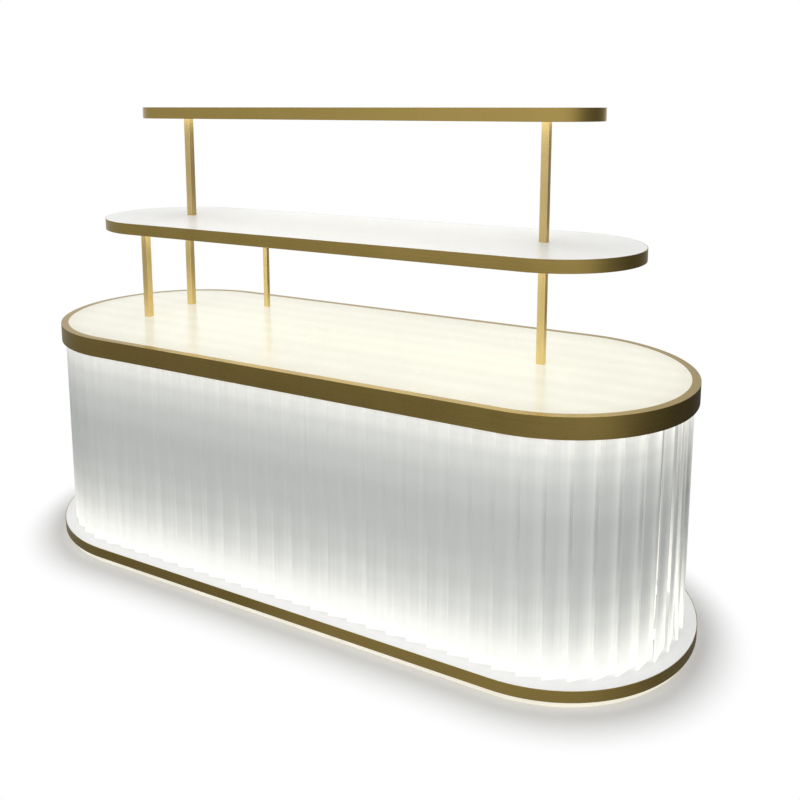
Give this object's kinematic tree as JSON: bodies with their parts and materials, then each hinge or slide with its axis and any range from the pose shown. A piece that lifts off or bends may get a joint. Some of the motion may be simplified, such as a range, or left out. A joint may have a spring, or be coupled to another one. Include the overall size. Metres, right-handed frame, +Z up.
{
  "type": "display counter",
  "caption": "Lit island display counter with round ends, a skirt of overlapping frosted slats, a glowing top and raised oblong shelves on slim square posts.",
  "frame": {"origin": "centre of the footprint at floor level", "axes": "+X along the counter to the right seen from the front, +Y to the rear, +Z up"},
  "size_m": [2.4516, 0.944, 1.63],
  "materials": {
    "bronze_band": "brushed, bronze coloured, satin",
    "gold_tube": "brushed, gold coloured, satin",
    "frosted_acrylic": "frosted, translucent",
    "opal_acrylic": "opal, lit from behind",
    "opal_line": "opal, lit from behind",
    "white_panel": "white, satin",
    "white_board": "white faced board",
    "core_board": "plywood, unfinished",
    "channel_metal": "anodised, satin",
    "led_tape": "light tape",
    "zinc_steel": "zinc plated",
    "driver_case": "moulded case",
    "black_rubber": "moulded"
  },
  "bodies": {
    "counter": {"base_deck": "white_board", "base_trim_band": "bronze_band", "bulkheads": "white_board", "cable_grommet": "black_rubber", "core_wall_front": "white_board", "core_wall_left_end": "white_board", "core_wall_rear": "white_board", "core_wall_right_end": "white_board", "foot_inserts": "zinc_steel", "led_drivers": "driver_case", "lightbox_led_bars": "led_tape", "lower_led_tape": "led_tape", "lower_light_channel": "channel_metal", "lower_light_cover": "opal_line", "lower_post_front_left": "gold_tube", "lower_post_rear_left": "gold_tube", "lower_post_slim_rear": "gold_tube", "opal_top_panel": "opal_acrylic", "panel_spacers": "white_panel", "plinth_front": "core_board", "plinth_left_end": "core_board", "plinth_rear": "core_board", "plinth_right_end": "core_board", "post_base_plates": "zinc_steel", "post_base_screws": "zinc_steel", "rim_frame": "core_board", "shelf_1_core": "core_board", "shelf_1_led_tape": "led_tape", "shelf_1_plate_screws": "zinc_steel", "shelf_1_post_plates": "zinc_steel", "shelf_1_soffit": "opal_line", "shelf_1_top_panel": "white_panel", "shelf_1_trim_band": "bronze_band", "shelf_2_core": "core_board", "shelf_2_led_tape": "led_tape", "shelf_2_plate_screws": "zinc_steel", "shelf_2_post_plates": "zinc_steel", "shelf_2_soffit": "opal_line", "shelf_2_top_panel": "white_panel", "shelf_2_trim_band": "bronze_band", "slats_front": "frosted_acrylic", "slats_left_end": "frosted_acrylic", "slats_rear": "frosted_acrylic", "slats_right_end": "frosted_acrylic", "sub_top": "core_board", "through_post_right": "gold_tube", "toe_diffuser": "opal_line", "toe_light_tape": "led_tape", "top_trim_band": "bronze_band", "upper_led_tape": "led_tape", "upper_light_channel": "channel_metal", "upper_light_cover": "opal_line", "upper_post_left": "gold_tube"},
    "levelling_foot_1": {"levelling_foot_1": "zinc_steel"},
    "levelling_foot_2": {"levelling_foot_2": "zinc_steel"},
    "levelling_foot_3": {"levelling_foot_3": "zinc_steel"},
    "levelling_foot_4": {"levelling_foot_4": "zinc_steel"},
    "levelling_foot_5": {"levelling_foot_5": "zinc_steel"},
    "levelling_foot_6": {"levelling_foot_6": "zinc_steel"}
  },
  "joints": [
    {"name": "levelling_foot_1_screw", "type": "slide", "parent": "counter", "child": "levelling_foot_1", "axis": [0, 0, -1], "range_m": [0, 0.012]},
    {"name": "levelling_foot_2_screw", "type": "slide", "parent": "counter", "child": "levelling_foot_2", "axis": [0, 0, -1], "range_m": [0, 0.012]},
    {"name": "levelling_foot_3_screw", "type": "slide", "parent": "counter", "child": "levelling_foot_3", "axis": [0, 0, -1], "range_m": [0, 0.012]},
    {"name": "levelling_foot_4_screw", "type": "slide", "parent": "counter", "child": "levelling_foot_4", "axis": [0, 0, -1], "range_m": [0, 0.012]},
    {"name": "levelling_foot_5_screw", "type": "slide", "parent": "counter", "child": "levelling_foot_5", "axis": [0, 0, -1], "range_m": [0, 0.012]},
    {"name": "levelling_foot_6_screw", "type": "slide", "parent": "counter", "child": "levelling_foot_6", "axis": [0, 0, -1], "range_m": [0, 0.012]}
  ]
}
